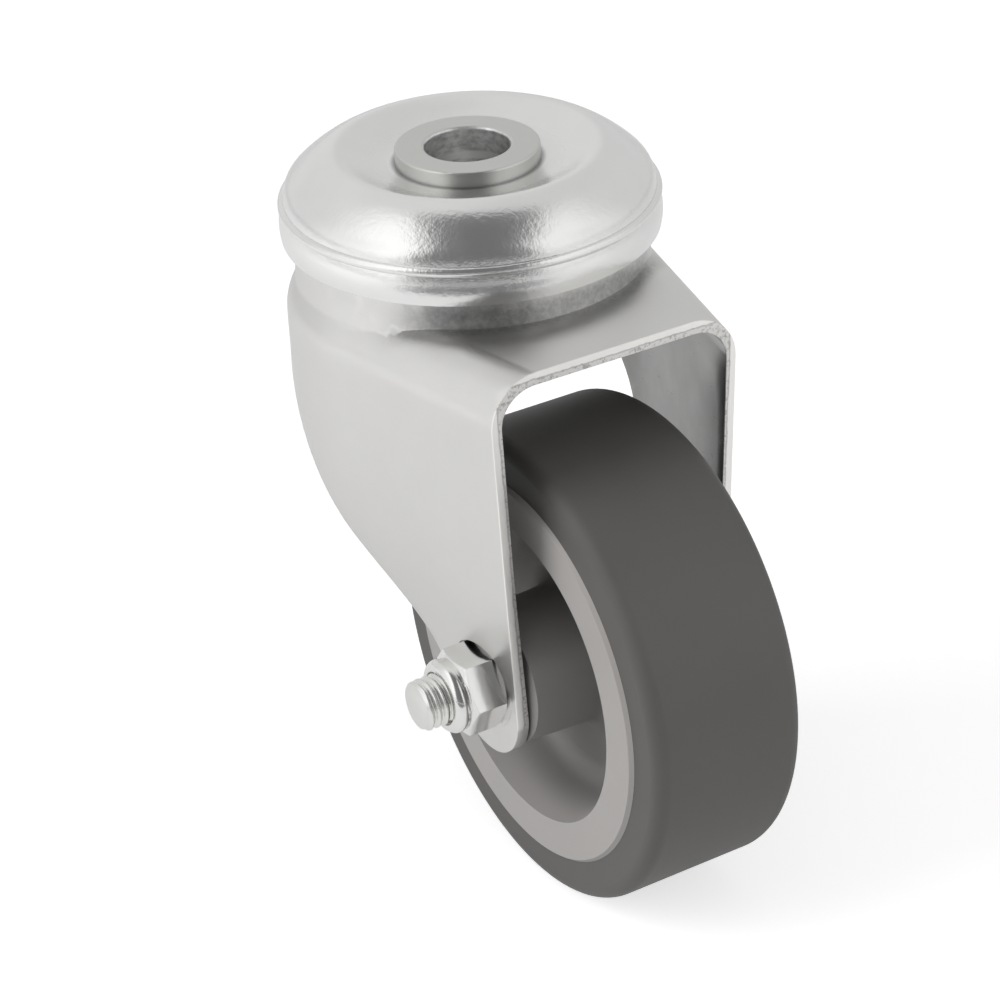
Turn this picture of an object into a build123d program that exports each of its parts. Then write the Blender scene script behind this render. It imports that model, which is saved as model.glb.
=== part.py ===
import os
from math import acos, atan2, cos, hypot, radians, sin, sqrt, tan

from build123d import *

os.makedirs("parts", exist_ok=True)

# Swivel caster with a bolt hole. Millimetres. The swivel axis is Z, and z = 0 is the mounting
# face on top of the hollow rivet. The wheel trails toward +X and its axle lies along Y.

# Wheel
rim_seat_diameter = 62.2
tyre_thickness = 6.4
tread_width = 25.5
tread_shoulder = 2.2
rim_key_height = 2.0
rim_key_width = 9.0
rim_opening_diameter = 49.2
rim_floor_diameter = 44.0
rim_proud = 0.6
web_thickness = 5.0
web_fillet = 3.5
hub_diameter = 21.2
hub_gap = 0.3

# Axle
axle_offset = 31.3
axle_drop = 72.2
bolt_diameter = 8.0
bolt_hole_play = 0.15
bolt_across_flats = 12.0
bolt_head_height = 5.3
bolt_end_chamfer = 0.5
nut_across_flats = 12.0
nut_hex_height = 5.9
nut_height = 8.3
nut_collar_step = 0.3
nut_collar_root = 0.45
nut_collar_rounding = 1.0
nut_ring_wall = 0.8
nut_ring_depth = 2.0
nut_ring_lip = 0.4
bolt_protrusion = 3.9
tube_diameter = 12.0
tube_play = 0.1
wheel_bore_play = 0.08

# Fork sheet
sheet = 2.0
plate_top = 17.5
front_edge = 40.2
front_half_width_top = 21.1
front_half_width_axle = 18.9
seat_diameter = 14.2
seat_stand = 0.15
bend_radius = 7.5
neck_gap = 0.8
neck_flare = 1.8
neck_flare_drop = 31.0
neck_flare_length = 8.0
neck_shoulder = 3.6
leg_end_radius = 10.2
leg_end_drop = 2.6
leg_end_back = 1.8
rear_edge_drop = 20.8
rear_edge_stand = 1.9

# Swivel head
bore_diameter = 13.0
rivet_wall = 2.9
collar_diameter = 22.0
collar_height = 2.4
cap_sheet = 1.4
cap_crest_radius = 20.8
cap_crest_drop = 0.15
cap_dish_gap = 1.2
cap_radius = 29.1
cap_shoulder_in = 2.25
cap_shoulder_drop = 3.9
cap_bead_in = 0.75
cap_bead_drop = 7.0
cap_bead_height = 1.4
cap_groove_in = 0.35
cap_widest_drop = 10.2
cap_edge_drop = 12.9
cap_edge_in = 0.2
ball_diameter = 5.0
upper_pitch_radius = 19.4
lower_pitch_radius = 17.2
upper_ball_count = 24
lower_ball_count = 20
ball_play = 0.12
cap_race_gap = 0.5
race_depth = 0.9
race_sheet = 2.0
race_brim = 0.9
race_rounding = 0.6
rivet_lip = 2.2
rivet_lip_edge = 0.8
rivet_lip_turn = 0.4
roof_hole_brim = 0.4
bore_rounding = 0.5
collar_rounding = 0.35

wheel_diameter = rim_seat_diameter + 2 * tyre_thickness
wheel_radius = wheel_diameter / 2
bore_radius = bore_diameter / 2
collar_radius = collar_diameter / 2
rivet_radius = bore_radius + rivet_wall
ball_radius = ball_diameter / 2
tube_radius = tube_diameter / 2
bolt_radius = bolt_diameter / 2
neck_radius = cap_radius - cap_sheet - neck_gap
neck_flare_radius = neck_radius + neck_flare
axle_plane = Plane(origin=(axle_offset, 0, -axle_drop))
axle_line = Axis((axle_offset, 0, -axle_drop), (0, 1, 0))


def across_axle(y, outward):
    """Sketch plane square to the axle, facing along it."""
    return Plane(origin=(axle_offset, y, -axle_drop), x_dir=(1, 0, 0), z_dir=(0, outward, 0))


def ring_race(pitch_radius, centre_z):
    """A torus that clears the balls, for cutting their groove."""
    with BuildPart() as groove:
        with BuildSketch(Plane.XZ):
            with Locations((pitch_radius, centre_z)):
                Circle(ball_radius + ball_play)
        revolve(axis=Axis.Z)
    return groove.part


def ball_row(pitch_radius, centre_z, count):
    """A full row of separate balls."""
    with BuildPart() as row:
        with Locations(Plane.XY.offset(centre_z)):
            with PolarLocations(pitch_radius, count):
                Sphere(ball_radius)
    return row.part


# Heights in the head, from the cap down to the lower race
upper_ball_z = -cap_crest_drop - cap_sheet - cap_race_gap - ball_radius
cup_top = upper_ball_z - ball_radius - ball_play + race_depth
cup_underside = cup_top - sheet
lower_ball_z = cup_underside - ball_radius - ball_play + race_depth
lower_race_top = lower_ball_z - ball_radius - ball_play + race_depth
lower_race_bottom = lower_race_top - race_sheet


# Fork outline in plan: a round rear and two straight sides drawn in to the front edge
def plan_section(z, radius, half_width, reach):
    """One closed outline: front edge, straight sides, round rear tangent to both sides."""
    angle = atan2(half_width, reach) + acos(radius / hypot(half_width, reach))
    touch = (radius * cos(angle), radius * sin(angle))
    with BuildSketch(Plane.XY.offset(z)) as section:
        with BuildLine():
            Line((reach, -half_width), (reach, half_width))
            Line((reach, half_width), touch)
            ThreePointArc(touch, (-radius, 0), (touch[0], -touch[1]))
            Line((touch[0], -touch[1]), (reach, -half_width))
        make_face()
    return section.sketch


def half_width_at(z):
    """Half width of the front edge at a height."""
    share = (-z - plate_top) / (axle_drop - plate_top)
    return front_half_width_top + (front_half_width_axle - front_half_width_top) * share


# Round rear of the legs: share of the way from the plate down to the axle, and how far its
# radius stands in from the cap's
leg_rear = (
    (0.0, 1.3),
    (0.23, 0.1),
    (0.45, -0.2),
    (0.65, 0.8),
    (0.83, 4.1),
    (1.03, 8.3),
    (1.29, 10.5),
)


def fork_body(inset, reach):
    """Solid shape of the fork, drawn in by the sheet's thickness for its inside."""
    sections = []
    for share, stands_in in leg_rear:
        z = -plate_top - share * (axle_drop - plate_top)
        level = z - inset if share == 0 else z
        radius = cap_radius - stands_in - inset
        sections.append(plan_section(level, radius, half_width_at(z) - inset, reach))
    with BuildPart() as legs:
        for section in sections:
            add(section)
        loft()
        top_edges = legs.faces().sort_by(Axis.Z)[-1].edges()
        front = top_edges.sort_by(Axis.X)[-1]
        fillet([edge for edge in top_edges if edge != front], bend_radius - inset)
        with BuildSketch(Plane.XZ):
            with BuildLine():
                roof = cup_top - inset
                wall = neck_radius - inset
                flare = neck_flare_radius - inset
                rounding = neck_shoulder - inset
                Line((0, roof), (wall - rounding, roof))
                RadiusArc((wall - rounding, roof), (wall, roof - rounding), rounding)
                Polyline(
                    (wall, roof - rounding),
                    (wall, -plate_top + sheet),
                    (flare, -neck_flare_drop),
                    (flare, -neck_flare_drop - neck_flare_length),
                    (0, -neck_flare_drop - neck_flare_length),
                    (0, roof),
                )
            make_face()
        revolve(axis=Axis.Z)
    return legs.part


# Swept rear edge of the legs in side view: shares of the way forward and down from the rear
# corner under the cap to the middle of the leg's end
rear_sweep = (
    (0.78, 0.883),
    (0.661, 0.726),
    (0.555, 0.55),
    (0.421, 0.365),
    (0.264, 0.198),
    (0.116, 0.063),
    (0.0, 0.0),
)

# Fork: one pressed sheet with a round cup for the head, a flat front plate and two legs
seat_face = half_width_at(-axle_drop) + seat_stand
seat_inner = half_width_at(-axle_drop) - sheet - seat_stand
leg_end_centre = (axle_offset - leg_end_back, -axle_drop - leg_end_drop)
rear_corner = (-cap_radius - rear_edge_stand, -rear_edge_drop)
rear_run = leg_end_centre[0] - rear_corner[0]
rear_fall = leg_end_centre[1] - rear_corner[1]
rear_edge = [
    (rear_corner[0] + along * rear_run, rear_corner[1] + down * rear_fall)
    for along, down in rear_sweep
]
fork_outside = fork_body(0, front_edge)
fork_inside = fork_body(sheet, front_edge + sheet)

with BuildPart() as fork:
    add(fork_outside)
    add(fork_inside, mode=Mode.SUBTRACT)
    # side view of the pressing: upright front edge, rounded leg ends, swept rear edge
    with BuildSketch(Plane.XZ):
        with BuildLine():
            front_foot = (leg_end_centre[0] + leg_end_radius, leg_end_centre[1])
            rear_foot = (leg_end_centre[0] - leg_end_radius, leg_end_centre[1])
            Line((front_edge, 0), (front_edge, -plate_top - sheet))
            Line((front_edge, -plate_top - sheet), front_foot)
            ThreePointArc(front_foot, (leg_end_centre[0], leg_end_centre[1] - leg_end_radius), rear_foot)
            Spline(rear_foot, *rear_edge, tangents=((-0.1, 1), (-1, 0.2)))
            Line(rear_corner, (rear_corner[0], 0))
            Line((rear_corner[0], 0), (front_edge, 0))
        make_face()
    extrude(amount=wheel_diameter, both=True, mode=Mode.INTERSECT)
    # pressed flats on both faces of each leg for the axle bolt, its nut and the axle tube
    with BuildSketch(across_axle(0, 1)):
        Circle(seat_diameter / 2)
    extrude(amount=wheel_diameter, both=True, mode=Mode.SUBTRACT)
    for side in (1, -1):
        with BuildSketch(across_axle(side * seat_inner, side)):
            Circle(seat_diameter / 2)
            Circle(bolt_radius + bolt_hole_play, mode=Mode.SUBTRACT)
        extrude(amount=seat_face - seat_inner)
    # hole for the rivet and the two ball grooves in the roof of the cup
    with BuildSketch(Plane.XY.offset(-plate_top)):
        Circle(lower_pitch_radius - ball_radius - roof_hole_brim)
    extrude(amount=plate_top, mode=Mode.SUBTRACT)
    add(ring_race(upper_pitch_radius, upper_ball_z), mode=Mode.SUBTRACT)
    add(ring_race(lower_pitch_radius, lower_ball_z), mode=Mode.SUBTRACT)
fork.part.label = "fork"
export_step(fork.part, "parts/fork.step")


# Hollow rivet: collar on top, tube through the head, lip rolled out under the lower race
with BuildPart() as kingpin_rivet:
    with BuildSketch(Plane.XZ):
        with BuildLine():
            Polyline(
                (bore_radius, 0),
                (collar_radius, 0),
                (collar_radius, -collar_height),
                (rivet_radius, -collar_height),
                (rivet_radius, lower_race_bottom),
                (rivet_radius + rivet_lip, lower_race_bottom),
                (rivet_radius + rivet_lip, lower_race_bottom - rivet_lip_edge),
                (rivet_radius - rivet_lip_turn, lower_race_bottom - rivet_lip),
                (bore_radius, lower_race_bottom - rivet_lip),
                close=True,
            )
        make_face()
    revolve(axis=Axis.Z)
    mouth = kingpin_rivet.edges().filter_by(GeomType.CIRCLE).group_by(Axis.Z)[-1]
    fillet(mouth.sort_by(SortBy.RADIUS)[0], bore_rounding)
    fillet(mouth.sort_by(SortBy.RADIUS)[-1], collar_rounding)
kingpin_rivet.part.label = "kingpin_rivet"
export_step(kingpin_rivet.part, "parts/kingpin_rivet.step")

# Cap: domed pressing with a dish under the collar, a bead round it and a drawn-in skirt
def cap_form(inset):
    """Solid under the cap's skin, drawn in by the sheet's thickness for its underside."""
    dish_radius = collar_radius + cap_dish_gap - inset / 2
    top = -collar_height - inset
    slant = 0.75 * inset
    edge_radius = cap_radius - cap_edge_in
    with BuildPart() as form:
        with BuildSketch(Plane.XZ):
            with BuildLine():
                Line((0, top), (dish_radius, top))
                crown = Spline(
                    (dish_radius, top),
                    (cap_crest_radius, -cap_crest_drop - inset),
                    (cap_radius - cap_shoulder_in - slant, -cap_shoulder_drop - slant),
                    (cap_radius - cap_bead_in - inset, -cap_bead_drop),
                    tangents=((1, 0.05), (0.18, -1)),
                )
                bead = ThreePointArc(
                    crown @ 1,
                    (cap_radius - inset, -cap_bead_drop - cap_bead_height / 2),
                    (cap_radius - cap_groove_in - inset, -cap_bead_drop - cap_bead_height),
                )
                skirt = ThreePointArc(
                    bead @ 1,
                    (cap_radius - inset, -cap_widest_drop),
                    (edge_radius - inset, -cap_edge_drop),
                )
                Line(skirt @ 1, (0, -cap_edge_drop))
                Line((0, -cap_edge_drop), (0, top))
            make_face()
        revolve(axis=Axis.Z)
    return form.part


with BuildPart() as head_cap:
    add(cap_form(0))
    add(cap_form(cap_sheet), mode=Mode.SUBTRACT)
    with BuildSketch():
        Circle(rivet_radius)
    extrude(amount=-cap_edge_drop, mode=Mode.SUBTRACT)
head_cap.part.label = "head_cap"
export_step(head_cap.part, "parts/head_cap.step")

# Lower race: pressed ring with a ball groove, held by the rivet's lip
with BuildPart() as lower_race:
    with BuildSketch(Plane.XZ):
        with BuildLine():
            Polyline(
                (rivet_radius, lower_race_top),
                (lower_pitch_radius + ball_radius + race_brim, lower_race_top),
                (lower_pitch_radius + ball_radius + race_brim, lower_race_bottom),
                (rivet_radius, lower_race_bottom),
                close=True,
            )
        make_face()
    revolve(axis=Axis.Z)
    rims = lower_race.edges().filter_by(GeomType.CIRCLE).sort_by(SortBy.RADIUS)[-2:]
    fillet(rims, race_rounding)
    add(ring_race(lower_pitch_radius, lower_ball_z), mode=Mode.SUBTRACT)
lower_race.part.label = "lower_race"
export_step(lower_race.part, "parts/lower_race.step")

# Two full rows of balls
upper_balls = ball_row(upper_pitch_radius, upper_ball_z, upper_ball_count)
upper_balls.label = "upper_balls"
export_step(upper_balls, "parts/upper_balls.step")
lower_balls = ball_row(lower_pitch_radius, lower_ball_z, lower_ball_count)
lower_balls.label = "lower_balls"
export_step(lower_balls, "parts/lower_balls.step")


def hexagon(across_flats, y_inner, y_outer, outer_shoulder):
    """Hexagonal head or nut on the axle, its corners turned off at both ends."""
    outward = 1 if y_outer > y_inner else -1
    corner = across_flats / sqrt(3)
    drop = (corner - across_flats / 2) * tan(radians(30)) * 1.1
    with BuildPart() as piece:
        with BuildSketch(across_axle(y_inner, outward)):
            RegularPolygon(across_flats / 2, 6, major_radius=False)
        extrude(amount=abs(y_outer - y_inner))
        with BuildSketch(axle_plane):
            with BuildLine():
                Polyline(
                    (0, y_inner),
                    (across_flats / 2, y_inner),
                    (corner + 0.01, y_inner + outward * drop),
                    (corner + 0.01, y_outer - outward * drop),
                    (outer_shoulder, y_outer),
                    (0, y_outer),
                    close=True,
                )
            make_face()
        revolve(axis=axle_line, mode=Mode.INTERSECT)
    return piece.part


# Axle bolt: its head on the far leg, its end through the nut on the near leg
head_end = seat_face + bolt_head_height
nut_end = -seat_face - nut_height
bolt_end = nut_end - bolt_protrusion
with BuildPart() as axle_bolt:
    add(hexagon(bolt_across_flats, seat_face, head_end, bolt_across_flats / 2 * 0.94))
    with BuildSketch(across_axle(seat_face, -1)):
        Circle(bolt_radius)
    extrude(amount=seat_face - bolt_end)
    tip = axle_bolt.faces().sort_by(Axis.Y)[0].edges()
    chamfer(tip, bolt_end_chamfer)
axle_bolt.part.label = "axle_bolt"
export_step(axle_bolt.part, "parts/axle_bolt.step")

# Lock nut: hexagon with a rounded collar that holds a nylon ring
hex_end = -seat_face - nut_hex_height
collar_outer = nut_across_flats / 2 - nut_collar_step
ring_outer = bolt_radius + nut_ring_wall
ring_outer_end = nut_end + nut_ring_lip
ring_inner_end = ring_outer_end + nut_ring_depth
lip_radius = bolt_radius + nut_ring_wall / 3
collar_root = hex_end + nut_collar_root
collar_turn = hex_end - nut_collar_root
collar_top = (collar_outer - nut_collar_rounding, nut_end)
with BuildPart() as lock_nut:
    add(hexagon(nut_across_flats, -seat_face, hex_end, collar_outer))
    with BuildSketch(axle_plane):
        with BuildLine():
            Polyline((0, nut_end), (0, collar_root), (collar_outer, collar_root), (collar_outer, collar_turn))
            ThreePointArc(
                (collar_outer, collar_turn),
                (collar_outer - nut_collar_rounding / 3, nut_end + nut_collar_rounding / 3),
                collar_top,
            )
            Line(collar_top, (0, nut_end))
        make_face()
    revolve(axis=axle_line)
    with BuildSketch(across_axle(-seat_face, -1)):
        Circle(bolt_radius)
    extrude(amount=nut_height, mode=Mode.SUBTRACT)
    with BuildSketch(axle_plane):
        with BuildLine():
            Polyline(
                (0, nut_end),
                (lip_radius, nut_end),
                (lip_radius, ring_outer_end),
                (ring_outer, ring_outer_end),
                (ring_outer, ring_inner_end),
                (0, ring_inner_end),
                close=True,
            )
        make_face()
    revolve(axis=axle_line, mode=Mode.SUBTRACT)
lock_nut.part.label = "lock_nut"
export_step(lock_nut.part, "parts/lock_nut.step")

with BuildPart() as nut_ring:
    with BuildSketch(across_axle(ring_outer_end, 1)):
        Circle(ring_outer)
        Circle(bolt_radius, mode=Mode.SUBTRACT)
    extrude(amount=nut_ring_depth)
nut_ring.part.label = "nut_ring"
export_step(nut_ring.part, "parts/nut_ring.step")

# Axle tube: clamped between the legs, the wheel runs on it
with BuildPart() as axle_tube:
    with BuildSketch(across_axle(-seat_inner, 1)):
        Circle(tube_radius)
        Circle(bolt_radius + tube_play, mode=Mode.SUBTRACT)
    extrude(amount=2 * seat_inner)
axle_tube.part.label = "axle_tube"
export_step(axle_tube.part, "parts/axle_tube.step")

# Wheel centre: hub, dished web and rim in one moulding
rim_seat = rim_seat_diameter / 2
rim_opening = rim_opening_diameter / 2
rim_floor = rim_floor_diameter / 2
half_tread = tread_width / 2
rim_face = half_tread + rim_proud
hub_end = seat_inner - hub_gap
hub_radius = hub_diameter / 2
with BuildPart() as wheel_centre:
    with BuildSketch(axle_plane):
        with BuildLine():
            Polyline(
                (tube_radius + wheel_bore_play, 0),
                (tube_radius + wheel_bore_play, hub_end),
                (hub_radius, hub_end),
                (hub_radius + 0.6, web_thickness / 2),
                (rim_floor, web_thickness / 2),
                (rim_opening, rim_face),
                (rim_seat - 0.5, rim_face),
                (rim_seat, half_tread),
                (rim_seat, rim_key_width / 2),
                (rim_seat + rim_key_height, rim_key_width / 2 - 0.8),
                (rim_seat + rim_key_height, 0),
                close=True,
            )
        make_face()
        web_corners = [
            corner for corner in vertices()
            if abs(corner.Y - web_thickness / 2) < 0.01
        ]
        fillet(web_corners, web_fillet)
        mirror(about=Plane.XZ)
    revolve(axis=axle_line)
wheel_centre.part.label = "wheel_centre"
export_step(wheel_centre.part, "parts/wheel_centre.step")

# Tyre: moulded round the rim and keyed to its rib
with BuildPart() as tyre:
    with BuildSketch(axle_plane):
        with BuildLine():
            Polyline(
                (rim_seat, half_tread),
                (wheel_radius, half_tread),
                (wheel_radius, 0),
                (rim_seat + rim_key_height, 0),
                (rim_seat + rim_key_height, rim_key_width / 2 - 0.8),
                (rim_seat, rim_key_width / 2),
                close=True,
            )
        make_face()
        shoulder = vertices().sort_by(Axis.X)[-2:].sort_by(Axis.Y)[-1]
        fillet(shoulder, tread_shoulder)
        mirror(about=Plane.XZ)
    revolve(axis=axle_line)
tyre.part.label = "tyre"
export_step(tyre.part, "parts/tyre.step")
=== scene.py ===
from math import atan2, cos, pi, radians, sin

import bmesh
import bpy
from mathutils import Matrix, Vector


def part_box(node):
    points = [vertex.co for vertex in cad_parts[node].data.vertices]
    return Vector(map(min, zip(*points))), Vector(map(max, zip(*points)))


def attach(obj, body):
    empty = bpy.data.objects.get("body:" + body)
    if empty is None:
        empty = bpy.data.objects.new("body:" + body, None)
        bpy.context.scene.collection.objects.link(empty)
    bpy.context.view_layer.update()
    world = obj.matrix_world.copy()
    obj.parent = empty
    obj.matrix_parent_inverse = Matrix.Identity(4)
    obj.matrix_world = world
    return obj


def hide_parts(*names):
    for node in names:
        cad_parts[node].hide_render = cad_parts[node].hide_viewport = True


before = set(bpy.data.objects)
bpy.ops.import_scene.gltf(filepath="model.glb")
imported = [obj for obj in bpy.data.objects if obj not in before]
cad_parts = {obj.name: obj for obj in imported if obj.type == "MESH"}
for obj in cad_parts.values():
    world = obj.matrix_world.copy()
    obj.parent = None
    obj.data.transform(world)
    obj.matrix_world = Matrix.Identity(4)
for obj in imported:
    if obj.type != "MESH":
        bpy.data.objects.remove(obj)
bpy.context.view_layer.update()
mm = 0.001

# Places taken from the imported CAD parts
wheel_low, wheel_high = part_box("tyre")
axle_x = (wheel_low[0] + wheel_high[0]) / 2
axle_z = (wheel_low[2] + wheel_high[2]) / 2
floor_z = wheel_low[2]


# Camera
class Shot:
    """The photograph's viewpoint, fitted to it, as turns round the swivel axis and a distance."""

    azimuth = radians(60.61)
    elevation = radians(29.93)
    roll = radians(-2.95)
    distance = 476.66 * mm
    aside = 2.17 * mm
    height = -61.82 * mm
    sensor = 36.0
    focal_pixels = 2977.0
    image_pixels = 1000.0


def make_camera():
    """Places the camera, and gives the directions towards it and to its right."""
    back = Vector((
        sin(Shot.azimuth) * cos(Shot.elevation),
        -cos(Shot.azimuth) * cos(Shot.elevation),
        sin(Shot.elevation),
    ))
    level = Vector((cos(Shot.azimuth), sin(Shot.azimuth), 0))
    upright = back.cross(level)
    right = level * cos(Shot.roll) + upright * sin(Shot.roll)
    up = upright * cos(Shot.roll) - level * sin(Shot.roll)
    data = bpy.data.cameras.new("camera")
    data.sensor_width = Shot.sensor
    data.lens = Shot.sensor * Shot.focal_pixels / Shot.image_pixels
    data.clip_start = 10 * mm
    camera = bpy.data.objects.new("camera", data)
    bpy.context.collection.objects.link(camera)
    turn = Matrix((right, up, back)).transposed().to_4x4()
    place = level * Shot.aside + Vector((0, 0, Shot.height)) + back * Shot.distance
    camera.matrix_world = Matrix.Translation(place) @ turn
    bpy.context.scene.camera = camera
    return back, right


to_camera, camera_right = make_camera()


# Node helpers
class Value:
    """A node output that can be used in sums like a number."""

    def __init__(self, maker, socket):
        self.maker = maker
        self.socket = socket

    def __add__(self, other):
        return self.maker.math("ADD", self, other)

    def __sub__(self, other):
        return self.maker.math("SUBTRACT", self, other)

    def __rsub__(self, other):
        return self.maker.math("SUBTRACT", other, self)

    def __mul__(self, other):
        return self.maker.math("MULTIPLY", self, other)

    __radd__ = __add__
    __rmul__ = __mul__

    def above(self, edge, soft):
        """0 below the edge, 1 above it, over a soft width."""
        return self.maker.node(
            "ShaderNodeMapRange", 0, interpolation_type="SMOOTHSTEP",
            inputs=(self, edge - soft / 2, edge + soft / 2, 0.0, 1.0),
        )

    def clip(self):
        """Kept between 0 and 1."""
        return self.maker.node("ShaderNodeClamp", 0, inputs=(self, 0.0, 1.0))


def opaque(colour):
    """A plain colour gets its alpha, and a linked one stays as it is."""
    return colour if isinstance(colour, Value) else (*colour, 1.0)


class Maker:
    """Adds nodes to one tree."""

    def __init__(self, tree):
        self.tree = tree
        tree.nodes.clear()

    def fill(self, socket, given):
        """Links a value to a socket, or sets a number, vector or colour on it."""
        if isinstance(given, Value):
            self.tree.links.new(given.socket, socket)
        else:
            socket.default_value = given

    def node(self, kind, output=0, inputs=(), named=(), **settings):
        """A node with its settings first, then its sockets in their order or by name."""
        made = self.tree.nodes.new(kind)
        for name, setting in settings.items():
            setattr(made, name, setting)
        for key, given in [*enumerate(inputs), *dict(named).items()]:
            self.fill(made.inputs[key], given)
        return Value(self, made.outputs[output])

    def math(self, operation, *values):
        return self.node("ShaderNodeMath", 0, operation=operation, inputs=values)

    def length(self, a, b):
        """Distance from the point where both sides are zero."""
        return self.math("SQRT", a * a + b * b)

    def place(self):
        """Object coordinates in metres."""
        return self.node("ShaderNodeTexCoord", "Object")

    def axes(self, vector):
        """The three parts of a vector."""
        split = self.node("ShaderNodeSeparateXYZ", 0, inputs=(vector,)).socket.node
        return [Value(self, part) for part in split.outputs]

    def noise(self, vector, scale, detail, rough):
        return self.node(
            "ShaderNodeTexNoise", 0,
            named={"Vector": vector, "Scale": scale, "Detail": detail, "Roughness": rough},
        )

    def stretch(self, vector, sizes):
        return self.node("ShaderNodeMapping", 0, named={"Vector": vector, "Scale": sizes})

    def colour(self, share, low, high):
        """A colour between two, by a share from 0 to 1; the node keeps its colour ends at 6 and 7."""
        ends = {0: share, 6: opaque(low), 7: opaque(high)}
        return self.node("ShaderNodeMix", 2, named=ends, data_type="RGBA")

    def bump(self, height, strength, distance):
        return self.node(
            "ShaderNodeBump", 0,
            named={"Height": height, "Strength": strength, "Distance": distance},
        )

    def surface(self, **named):
        """Principled shader and the output; constants go on the shader's own sockets."""
        sockets = {name.replace("_", " "): given for name, given in named.items()}
        sockets["Base Color"] = opaque(sockets["Base Color"])
        self.end("ShaderNodeOutputMaterial", self.node("ShaderNodeBsdfPrincipled", named=sockets))

    def end(self, kind, shader):
        """The tree's output node."""
        self.fill(self.tree.nodes.new(kind).inputs[0], shader)


def material(name):
    made = bpy.data.materials.new(name)
    made.use_nodes = True
    return made, Maker(made.node_tree)


# Finishes
class Head:
    """Radii on the head that the finishes follow, and how far down the bore the lighter band lies."""

    bore = 6.5 * mm
    collar = 11.0 * mm
    dish = 15.0 * mm
    band_drop = 4.6 * mm


class Fork:
    """The fork's sheet, as its finish finds the sheared edge, the plate and the neck."""

    # Front edge: how far forward it stands at the feet, and its lean
    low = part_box("fork")[0][2]
    foot = 39.7 * mm
    lean = 0.5 / 55.0
    # Half width at the axle, and how it grows upwards
    half = 18.9 * mm
    widening = 2.2 / 54.7
    # The plate's top, and the radius of the neck's foot
    plate = -17.5 * mm
    neck = 26.9 * mm
    # The sheared edge: its reach from the front plane, and the width of its smooth part
    edge = 0.3 * mm
    smooth_part = 1.1 * mm


# Wheel centre: radius of the recess inside its outer ring, inside which the painted shade lies
recess_radius = 23.5 * mm

# Heights of the bumps: on the small zinc pieces, and on the fork, rivet, tyre and wheel centre
crystal_height = 0.02 * mm
bump_height = 0.03 * mm


def toned(tone, factor):
    """A colour made lighter or darker."""
    return tuple(min(1.0, part * factor) for part in tone)


def grain(m, place, size, strength):
    """Bump from the fine crystals of the zinc, their size in metres."""
    return m.bump(m.noise(place, 1 / size, 3, 0.65), strength, crystal_height)


def bright_zinc(name, tone, rough, strength):
    """Bright zinc: mirror-like metal with a sparkling grain and faint clouds."""
    made, m = material(name)
    place = m.place()
    clouds = m.noise(place, 110, 4, 0.6)
    colour = m.colour(clouds, toned(tone, 0.93), toned(tone, 1.05))
    roughness = (clouds - 0.5) * 0.12 + rough
    normal = grain(m, place, 0.5 * mm, strength)
    m.surface(Base_Color=colour, Metallic=1.0, Roughness=roughness, Normal=normal)
    return made


def satin_zinc(name, tone, rough):
    """Satin zinc: a soft sheen with clouds and a few rub marks."""
    made, m = material(name)
    place = m.place()
    clouds = m.noise(place, 55, 5, 0.65)
    marks = m.noise(m.stretch(place, (1, 1, 5)), 380, 2, 0.6).above(0.68, 0.04)
    colour = m.colour((clouds - 0.5) * 1.2 + 0.5, toned(tone, 0.95), toned(tone, 1.04))
    roughness = (clouds - 0.5) * 0.14 + rough + marks * 0.07
    normal = grain(m, place, 0.4 * mm, 0.35)
    m.surface(Base_Color=colour, Metallic=1.0, Roughness=roughness, Normal=normal)
    return made


def cap_zinc():
    """Bright zinc of the cap: finely pitted, duller in the dish, with painted shade in the crevice
    against the collar.
    """
    made, m = material("cap_finish")
    place = m.place()
    x, y, z = m.axes(place)
    radius = m.length(x, y)
    # Painted shade in the crevice round the collar
    crevice_shade = 1.0 - radius.above(Head.collar + 0.5 * mm, 1.0 * mm)
    dish = 1.0 - radius.above(Head.dish, 6 * mm)
    clouds = m.noise(place, 90, 4, 0.6)
    plain = m.colour(clouds, (0.79, 0.79, 0.785), (0.89, 0.89, 0.88))
    colour = m.colour(crevice_shade * 0.75, plain, (0.16, 0.16, 0.165))
    roughness = (clouds - 0.5) * 0.14 + dish * 0.10 + 0.215
    pits = m.noise(place, 1 / (0.75 * mm), 2, 0.6)
    fine = m.noise(place, 1 / (0.3 * mm), 2, 0.6)
    normal = m.bump(pits + fine * 0.35, 0.8, 0.045 * mm)
    m.surface(Base_Color=colour, Metallic=1.0, Roughness=roughness, Normal=normal)
    return made


def rivet_zinc():
    """Satin zinc rivet, rough inside its bore, with a lighter band part of the way down."""
    made, m = material("rivet_finish")
    place = m.place()
    x, y, z = m.axes(place)
    bore = 1.0 - m.length(x, y).above(Head.bore + 0.15 * mm, 0.2 * mm)
    clouds = m.noise(place, 70, 4, 0.65)
    chatter = m.noise(m.stretch(place, (1, 1, 1.8)), 480, 5, 0.65)
    # A lighter band round the bore part of the way down, made ragged by the chatter
    from_ring = m.math("ABSOLUTE", z + Head.band_drop + (chatter - 0.5) * 0.5 * mm)
    lighter_band = 1.0 - from_ring.above(0.6 * mm, 0.4 * mm)
    plain = m.colour(clouds, (0.60, 0.60, 0.58), (0.67, 0.67, 0.65))
    inside = m.colour(chatter.above(0.46, 0.4), (0.50, 0.50, 0.505), (0.95, 0.95, 0.94))
    colour = m.colour(bore, plain, m.colour(lighter_band * 0.8, inside, (1.0, 1.0, 0.99)))
    roughness = (clouds - 0.5) * 0.1 + bore * 0.08 + 0.33
    height = m.noise(place, 2500, 3, 0.65) * 0.3 + bore * chatter * 1.8
    normal = m.bump(height, 0.5, bump_height)
    m.surface(Base_Color=colour, Metallic=1.0, Roughness=roughness, Normal=normal)
    return made


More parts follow.
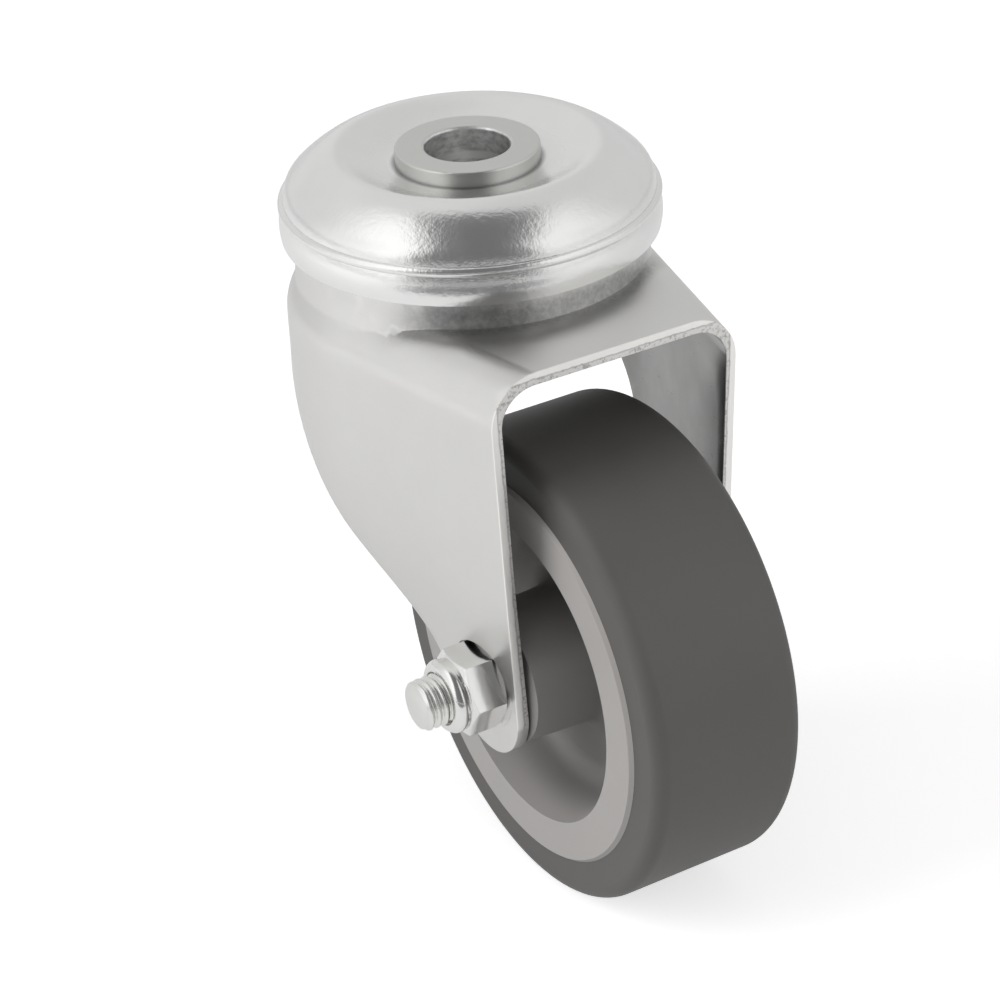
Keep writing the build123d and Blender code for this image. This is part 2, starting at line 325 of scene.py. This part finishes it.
def fork_sheet():
    """Satin zinc fork: a sheared front edge, painted shade on the inner faces, and painted shade round
    the neck's foot.
    """
    made, m = material("fork_finish")
    place = m.place()
    x, y, z = m.axes(place)
    clouds = m.noise(place, 55, 5, 0.65)
    scuffs = m.noise(m.stretch(place, (1, 1, 4)), 300, 2, 0.6).above(0.70, 0.03)

    # Sheared front edge: smooth outside, torn inside, with a ragged line between
    front = m.math("ABSOLUTE", x - ((z - Fork.low) * Fork.lean + Fork.foot))
    cut = 1.0 - front.above(Fork.edge, 0.2 * mm)
    half_width = (z - axle_z) * Fork.widening + Fork.half
    tear = m.noise(m.stretch(place, (1, 1, 0.3)), 1300, 4, 0.7)
    wander = m.noise(place, 160, 3, 0.6)
    depth = m.math("MINIMUM", half_width - m.math("ABSOLUTE", y), Fork.plate - z)
    ragged = depth + (tear - 0.5) * 0.5 * mm + (wander - 0.5) * 0.6 * mm
    torn = cut * ragged.above(Fork.smooth_part, 0.2 * mm)
    from_line = m.math("ABSOLUTE", ragged - Fork.smooth_part)
    line = cut * (1.0 - from_line.above(0.12 * mm, 0.12 * mm))

    # Painted shade on the inner faces of the legs and on the plate's underside
    facing = m.axes(m.node("ShaderNodeTexCoord", "Normal"))
    inward = 1.0 - (m.math("SIGN", y) * facing[1]).above(-0.45, 0.4)
    under = 1.0 - facing[2].above(-0.75, 0.3)
    inside = m.math("MAXIMUM", inward, under) * (1.0 - cut)

    # Painted shade on the neck's front and in the corner where it meets the plate, broken by spots
    neck = z.above(Fork.plate + 1.5 * mm, 2 * mm)
    stand_off = m.math("ABSOLUTE", m.length(x, y) - Fork.neck)
    above_plate = m.math("ABSOLUTE", z - Fork.plate)
    corner = 1.0 - m.math("MAXIMUM", stand_off, above_plate * 0.7).above(2.2 * mm, 2.6 * mm)
    corner = corner * x.above(17 * mm, 10 * mm)
    spots = m.noise(place, 1300, 3, 0.7).above(0.52, 0.35)
    shade = (neck * x.above(19 * mm, 10 * mm) * 0.16 + corner * 0.5).clip() * (1.0 - spots * 0.4)

    specks = m.noise(place, 1500, 4, 0.75).above(0.56, 0.1)
    plain = m.colour((clouds - 0.5) * 1.2 + 0.5, (0.70, 0.695, 0.68), (0.77, 0.765, 0.75))
    edged = m.colour(cut, plain, (0.97, 0.96, 0.94))
    rough_part = m.colour(specks, (0.80, 0.79, 0.775), (0.50, 0.49, 0.475))
    outside = m.colour(torn, edged, rough_part)
    sheet = m.colour(inside * (clouds * 0.4 + 0.65), outside, (0.20, 0.197, 0.195))
    sheet = m.colour(shade, sheet, (0.17, 0.173, 0.18))
    colour = m.colour(line * 0.5, sheet, (0.36, 0.355, 0.345))
    roughness = (clouds - 0.5) * 0.12 + 0.37 + scuffs * 0.08 + cut * 0.12 - inside * 0.14 - neck * 0.08
    fine = m.noise(place, 2400, 3, 0.65)
    height = fine * 0.35 + cut * tear * 2.2 + (neck + corner) * spots * 0.5
    normal = m.bump(height, 0.4, bump_height)
    m.surface(Base_Color=colour, Metallic=1.0, Roughness=roughness, Normal=normal)
    return made


def rubber():
    """Matte soft grey tyre with faint clouds."""
    made, m = material("tyre_finish")
    place = m.place()
    clouds = m.noise(place, 60, 4, 0.6)
    colour = m.colour(clouds, (0.096, 0.094, 0.089), (0.119, 0.116, 0.109))
    rough = (clouds - 0.5) * 0.12 + 0.52
    normal = m.bump(m.noise(place, 1800, 3, 0.6), 0.25, bump_height)
    m.surface(Base_Color=colour, Roughness=rough, Normal=normal, Specular_IOR_Level=0.40)
    return made


def moulded():
    """Warm grey moulded plastic of the wheel centre, with painted shade down in its recess."""
    made, m = material("wheel_plastic_finish")
    place = m.place()
    clouds = m.noise(place, 45, 3, 0.5)
    x, y, z = m.axes(place)
    # Painted shade down in the recess
    recess_shade = 1.0 - m.length(x - axle_x, z - axle_z).above(recess_radius, 1.5 * mm)
    plain = m.colour(clouds, (0.385, 0.370, 0.360), (0.425, 0.408, 0.396))
    dark = m.colour(clouds, (0.235, 0.227, 0.224), (0.27, 0.262, 0.258))
    rough = (clouds - 0.5) * 0.1 + 0.46
    normal = m.bump(m.noise(place, 1500, 3, 0.6), 0.2, bump_height)
    m.surface(Base_Color=m.colour(recess_shade, plain, dark), Roughness=rough, Normal=normal)
    return made


def nylon():
    """Natural nylon of the ring in the lock nut."""
    made, m = material("nylon_finish")
    clouds = m.noise(m.place(), 200, 3, 0.5)
    colour = m.colour(clouds, (0.7, 0.68, 0.6), (0.78, 0.76, 0.68))
    m.surface(Base_Color=colour, Roughness=0.45)
    return made


finishes = {
    "fork": fork_sheet(),
    "head_cap": cap_zinc(),
    "kingpin_rivet": rivet_zinc(),
    "lower_race": satin_zinc("race_finish", (0.62, 0.62, 0.60), 0.36),
    "axle_tube": satin_zinc("tube_finish", (0.64, 0.64, 0.62), 0.34),
    "axle_bolt": bright_zinc("bolt_finish", (0.78, 0.78, 0.76), 0.24, 0.5),
    "lock_nut": bright_zinc("nut_finish", (0.82, 0.82, 0.81), 0.18, 0.3),
    "upper_balls": bright_zinc("ball_finish", (0.72, 0.72, 0.73), 0.10, 0.05),
    "tyre": rubber(),
    "wheel_centre": moulded(),
    "nut_ring": nylon(),
}
finishes["lower_balls"] = finishes["upper_balls"]


def dress(piece, finish):
    """Gives a piece one finish and no other."""
    piece.data.materials.clear()
    piece.data.materials.append(finish)


for node_name, node_finish in finishes.items():
    dress(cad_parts[node_name], node_finish)


# Pieces that stand for CAD nodes
class Rounding:
    """Widths of the rounded edges, and the angles in degrees that the work on them goes by."""

    bolt = 0.16 * mm
    nut = 0.20 * mm
    sheet = 0.22 * mm
    segments = 3
    # Edges sharper than this are rounded, on the bolt and nut and on the fork
    fastener_edges = 24
    sheet_edges = 60
    # Faces that turn by less than this are joined first
    flats = 0.5
    # Faces that meet at less than this are shaded smooth
    fastener_smooth = 32
    sheet_smooth = 18


def pick(*pieces):
    """Only these pieces are selected, and the first one is active."""
    bpy.ops.object.select_all(action="DESELECT")
    for piece in pieces:
        piece.select_set(True)
    bpy.context.view_layer.objects.active = pieces[0]


def merge(piece, turn_out=False):
    """Joins the piece's loose faces; turn_out makes them all point outwards."""
    pick(piece)
    bpy.ops.object.mode_set(mode="EDIT")
    bpy.ops.mesh.select_all(action="SELECT")
    bpy.ops.mesh.remove_doubles(threshold=1e-7)
    if turn_out:
        bpy.ops.mesh.normals_make_consistent(inside=False)
    bpy.ops.object.mode_set(mode="OBJECT")


def copy_node(name, new_name):
    """A merged copy of a CAD node."""
    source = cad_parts[name]
    piece = source.copy()
    piece.data = source.data.copy()
    piece.name = new_name
    bpy.context.collection.objects.link(piece)
    merge(piece)
    return piece


def join_flats(piece):
    """Makes single faces of the flat areas."""
    pick(piece)
    bpy.ops.object.mode_set(mode="EDIT")
    bpy.ops.mesh.select_all(action="SELECT")
    bpy.ops.mesh.dissolve_limited(angle_limit=radians(Rounding.flats))
    bpy.ops.object.mode_set(mode="OBJECT")


def round_edges(piece, width, sharpest):
    """Rounds the edges sharper than an angle in degrees."""
    pick(piece)
    rounding = piece.modifiers.new("rounding", "BEVEL")
    rounding.width = width
    rounding.segments = Rounding.segments
    rounding.limit_method = "ANGLE"
    rounding.angle_limit = radians(sharpest)
    rounding.use_clamp_overlap = True
    bpy.ops.object.modifier_apply(modifier=rounding.name)


def smooth(piece, below):
    """Shades a piece smooth where its faces meet at less than an angle in degrees."""
    pick(piece)
    bpy.ops.object.shade_smooth_by_angle(angle=radians(below))


def keep_far_end(piece, y):
    """Cuts a piece square to the axle, closes the cut and keeps the side away from the camera."""
    pick(piece)
    bpy.ops.object.mode_set(mode="EDIT")
    bpy.ops.mesh.select_all(action="SELECT")
    bpy.ops.mesh.bisect(
        plane_co=(axle_x, y, axle_z), plane_no=(0, 1, 0), use_fill=True,
        clear_inner=True, clear_outer=False,
    )
    bpy.ops.object.mode_set(mode="OBJECT")


def settle(piece):
    """Puts the object's place, turn and size into its mesh."""
    pick(piece)
    bpy.ops.object.transform_apply(location=True, rotation=True, scale=True)


# Axle bolt with the thread on its end
class Thread:
    """M8 coarse thread; flat is the share of the pitch that its root and its crest each take."""

    outer = 4.0 * mm
    root = 3.45 * mm
    pitch = 1.25 * mm
    flat = 0.14
    chamfer = 0.45 * mm
    sides = 72
    rows = 76


def thread_radius(angle, y, end):
    """Radius of the rod's surface: ridge and groove round the helix, turned down at the tip."""
    share = (y / Thread.pitch + angle / (2 * pi)) % 1.0
    slope = (1.0 - abs(2 * share - 1) - Thread.flat) / (1.0 - 2 * Thread.flat)
    radius = Thread.root + (Thread.outer - Thread.root) * min(1.0, max(0.0, slope))
    return min(radius, Thread.outer - Thread.chamfer + (y - end))


def threaded_end(start, end):
    """Threaded rod from start to end along the axle."""
    length = start - end
    bpy.ops.object.select_all(action="DESELECT")
    bpy.ops.mesh.primitive_cylinder_add(
        vertices=Thread.sides, radius=Thread.outer, depth=length, end_fill_type="NGON",
        location=(axle_x, (start + end) / 2, axle_z), rotation=(pi / 2, 0, 0),
    )
    rod = bpy.context.object
    rod.name = "bolt_thread"
    settle(rod)
    bpy.ops.object.mode_set(mode="EDIT")
    bpy.ops.mesh.select_mode(type="EDGE")
    bpy.ops.mesh.select_all(action="DESELECT")
    shape = bmesh.from_edit_mesh(rod.data)
    for edge in shape.edges:
        edge.select = abs(edge.verts[0].co.y - edge.verts[1].co.y) > length / 2
    bmesh.update_edit_mesh(rod.data)
    bpy.ops.mesh.subdivide(number_cuts=Thread.rows)
    bpy.ops.object.mode_set(mode="OBJECT")
    for vertex in rod.data.vertices:
        angle = atan2(vertex.co.z - axle_z, vertex.co.x - axle_x)
        radius = thread_radius(angle, vertex.co.y, end)
        vertex.co.x = axle_x + radius * cos(angle)
        vertex.co.z = axle_z + radius * sin(angle)
    merge(rod, turn_out=True)
    return rod


def make_bolt():
    """The bolt's shank and head from the CAD node, and a threaded end from inside the nut outwards."""
    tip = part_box("axle_bolt")[0][1]
    nut_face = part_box("lock_nut")[0][1]
    joint = nut_face + 0.6 * mm
    overlap = 0.02 * mm
    tip_room = 0.01 * mm
    bolt = copy_node("axle_bolt", "threaded_bolt")
    keep_far_end(bolt, joint)
    join_flats(bolt)
    round_edges(bolt, Rounding.bolt, Rounding.fastener_edges)
    end = threaded_end(joint + overlap, tip + tip_room)
    dress(end, finishes["axle_bolt"])
    dress(bolt, finishes["axle_bolt"])
    pick(bolt, end)
    bpy.ops.object.join()
    smooth(bolt, Rounding.fastener_smooth)
    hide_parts("axle_bolt")
    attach(bolt, "swivel_fork")


def make_nut():
    """The lock nut with its corners rounded."""
    nut = copy_node("lock_nut", "rounded_nut")
    join_flats(nut)
    round_edges(nut, Rounding.nut, Rounding.fastener_edges)
    dress(nut, finishes["lock_nut"])
    smooth(nut, Rounding.fastener_smooth)
    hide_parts("lock_nut")
    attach(nut, "swivel_fork")


def make_fork():
    """The fork with the edges of its sheet eased, as shearing and tumbling leave them."""
    fork = copy_node("fork", "eased_fork")
    round_edges(fork, Rounding.sheet, Rounding.sheet_edges)
    dress(fork, finishes["fork"])
    smooth(fork, Rounding.sheet_smooth)
    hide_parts("fork")
    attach(fork, "swivel_fork")


make_bolt()
make_nut()
make_fork()


# Stage
class Card:
    """The dark card on the floor: width, depth, and how far it lies towards the camera."""

    width = 0.46
    depth = 0.44
    ahead = 0.44


class Room:
    """How strongly the room shines, 1 being white, and where the metal sees its parts.

    Places are parts of a direction of length 1: aside from the camera, towards it, or up.
    """

    # The dark gap in front: its half width, how it leans and narrows upwards, and how dark it is
    gap_half = 0.60
    gap_lean = 0.05
    gap_taper = 0.28
    gap_dark = 0.76
    # The soft boxes beside the gap: from where to where outside its edge
    box_start = 0.06
    box_end = 0.42
    # The walls, and how much more shines on the left, in a soft box and in the left soft box
    wall = 0.69
    left_more = 0.08
    box_more = 0.34
    left_box_more = 0.16
    # What lights the plain surfaces: everywhere, more from the camera's side, less from its right
    plain = 0.36
    plain_ahead = 0.30
    plain_aside = 0.05


def shown(m):
    """Two values: 1 for the camera's own rays, and 1 for those and mirrored or refracted ones."""
    camera = m.node("ShaderNodeLightPath", "Is Camera Ray")
    glossy = m.node("ShaderNodeLightPath", "Is Glossy Ray")
    through = m.node("ShaderNodeLightPath", "Is Transmission Ray")
    return camera, (camera + glossy + through).clip()


def make_floor():
    """A wide pale floor; only the camera and the metal that mirrors it see its own glow."""
    bpy.ops.mesh.primitive_plane_add(size=6, location=(0, 0, floor_z - 0.2 * mm))
    floor = bpy.context.object
    floor.name = "floor"
    made, m = material("floor_finish")
    tint = m.colour(m.noise(m.place(), 3, 2, 0.5), (0.80, 0.80, 0.80), (0.82, 0.82, 0.82))
    camera, seen = shown(m)
    mirrored = 0.45
    share = camera * (1.0 - mirrored) + seen * mirrored
    glow = m.colour(share, (0.0, 0.0, 0.0), (1.0, 1.0, 1.0))
    m.surface(Base_Color=tint, Roughness=0.9, Emission_Color=glow, Emission_Strength=0.60)
    floor.data.materials.append(made)


def make_card():
    """A dark card on the floor that only the metal mirrors, under the room's dark gap."""
    ahead = Vector((to_camera.x, to_camera.y, 0)).normalized()
    bpy.ops.object.select_all(action="DESELECT")
    bpy.ops.mesh.primitive_plane_add(size=1)
    card = bpy.context.object
    card.name = "dark_card"
    card.scale = (Card.width, Card.depth, 1)
    card.rotation_euler = (0, 0, atan2(ahead.x, -ahead.y))
    card.location = ahead * Card.ahead + Vector((0, 0, floor_z + 0.5 * mm))
    card.visible_camera = False
    card.visible_diffuse = False
    card.visible_shadow = False
    made, m = material("card_finish")
    m.surface(Base_Color=(0.20, 0.20, 0.205), Roughness=0.9)
    card.data.materials.append(made)


def make_world():
    """White to the camera; mirrored in the metal, a pale room with a dark gap between two soft boxes."""
    world = bpy.data.worlds.new("world")
    bpy.context.scene.world = world
    world.use_nodes = True
    m = Maker(world.node_tree)
    x, y, z = m.axes(m.node("ShaderNodeTexCoord", "Generated"))
    front = Vector((to_camera.x, to_camera.y)).normalized()
    ahead = x * front.x + y * front.y
    aside = y * front.x - x * front.y
    outside = m.math("ABSOLUTE", aside - z * Room.gap_lean) + z * Room.gap_taper - Room.gap_half
    gap = (1.0 - outside.above(0.0, 0.10)) * ahead.above(-0.10, 0.16)
    left = 1.0 - aside.above(0.0, 0.3)
    beside = outside.above(Room.box_start, 0.10) * (1.0 - outside.above(Room.box_end, 0.5))
    box = beside * ahead.above(-0.15, 0.5)
    wall = Room.wall + left * Room.left_more + box * (left * Room.left_box_more + Room.box_more)
    mirrored = wall * (1.0 - gap * Room.gap_dark)
    plain = Room.plain + ahead * Room.plain_ahead - aside * Room.plain_aside
    camera, seen = shown(m)
    strength = camera + (seen - camera) * mirrored + (1.0 - seen) * plain
    shine = m.node("ShaderNodeBackground", inputs=((1.0, 1.0, 1.0, 1.0), strength))
    m.end("ShaderNodeOutputWorld", shine)


# Where the lamps aim, near the middle of the caster, and how far from it they stand
lamp_aim = Vector((10 * mm, 0, -50 * mm))
lamp_distance = 0.9


def make_light(name, direction, size, power):
    """A soft lamp for the plain surfaces; the metal mirrors the room instead."""
    data = bpy.data.lights.new(name, "AREA")
    data.shape = "RECTANGLE"
    data.size, data.size_y = size
    data.energy = power
    light = bpy.data.objects.new(name, data)
    bpy.context.collection.objects.link(light)
    light.location = lamp_aim + direction.normalized() * lamp_distance
    light.rotation_euler = direction.to_track_quat("Z", "Y").to_euler()
    light.visible_glossy = False


make_floor()
make_card()
make_world()
overhead = Vector((0, 0, 1))
make_light("key", to_camera * 0.35 - camera_right * 1.0 + overhead * 0.4, (0.6, 0.6), 4.2)
make_light("top", overhead + to_camera * 0.3, (0.9, 0.5), 0.3)
make_light("side", to_camera * 0.5 + camera_right + overhead * 0.1, (0.5, 0.8), 2.2)

scene = bpy.context.scene
scene.view_settings.view_transform = "Standard"
